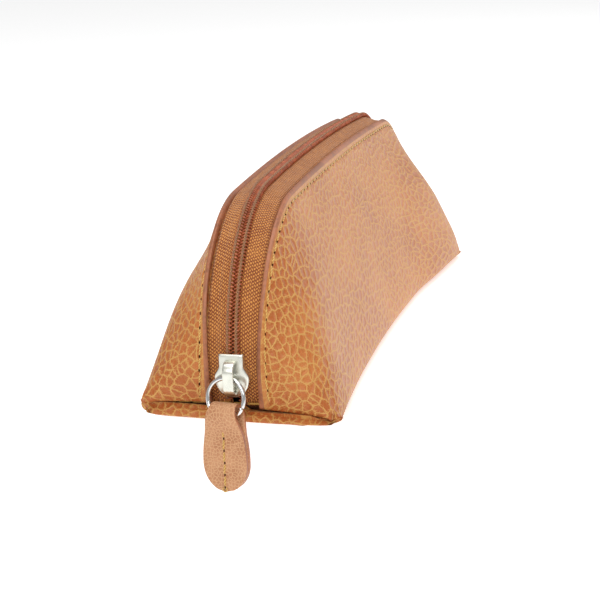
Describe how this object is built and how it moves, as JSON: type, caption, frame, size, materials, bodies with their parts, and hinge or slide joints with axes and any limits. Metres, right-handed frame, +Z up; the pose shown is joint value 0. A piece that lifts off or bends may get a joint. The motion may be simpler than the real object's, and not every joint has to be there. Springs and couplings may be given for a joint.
{
  "type": "zippered pouch",
  "caption": "Long triangular leather pouch on a flat base, with an arched coil zip along its top and a leather pull that hangs from a ring on the slider.",
  "frame": {"origin": "middle of the flat base face that the pouch stands on", "axes": "+X along the pouch, away from the end where the closed slider and its pull hang; -Y is the front panel; +Z is up"},
  "size_m": [0.2157, 0.0544, 0.078],
  "materials": {
    "leather": "pebbled full grain, semi-gloss",
    "pull_leather": "fine grain, matt",
    "lining": "plain weave",
    "tape": "ribbed woven tape",
    "coil": "nylon monofilament",
    "cord": "twisted filler cord",
    "coil_thread": "chain stitch thread",
    "thread": "golden bonded thread",
    "nickel": "satin nickel plate",
    "ring": "bright nickel plate",
    "spring": "spring steel"
  },
  "bodies": {
    "pouch": {"leather_wrap": "leather", "lining": "lining", "zip_tape_front": "tape", "zip_tape_back": "tape", "zip_coil_front": "coil", "zip_coil_back": "coil", "coil_cord_front": "cord", "coil_cord_back": "cord", "coil_thread_front": "coil_thread", "coil_thread_back": "coil_thread", "top_stitching_front": "thread", "top_stitching_back": "thread", "seam_stitching_near": "thread", "seam_stitching_far": "thread"},
    "slider": {"slider_body": "nickel", "slider_crown": "nickel", "lock_spring": "spring"},
    "ring": {"pull_ring": "ring"},
    "pull": {"pull_leather": "pull_leather", "pull_stitching": "thread"}
  },
  "joints": [
    {"name": "slider_travel", "type": "hinge", "parent": "pouch", "child": "slider", "pos_m": [-0.0625, 0.0024, 0.0173], "axis": [0, 1, 0], "range_deg": [0, 83], "deforming": ["zip_tape_front", "zip_tape_back", "zip_coil_front", "zip_coil_back", "coil_cord_front", "coil_cord_back", "coil_thread_front", "coil_thread_back"]},
    {"name": "ring_swing", "type": "hinge", "parent": "slider", "child": "ring", "pos_m": [-0.10607, 0.0024, 0.01291], "axis": [0.1736, 0.9848, 0], "range_deg": [0, 125]},
    {"name": "pull_swing", "type": "hinge", "parent": "ring", "child": "pull", "pos_m": [-0.10768, 0.0037, 0.00359], "axis": [0.1736, 0.9848, 0], "range_deg": [0, 40]}
  ]
}
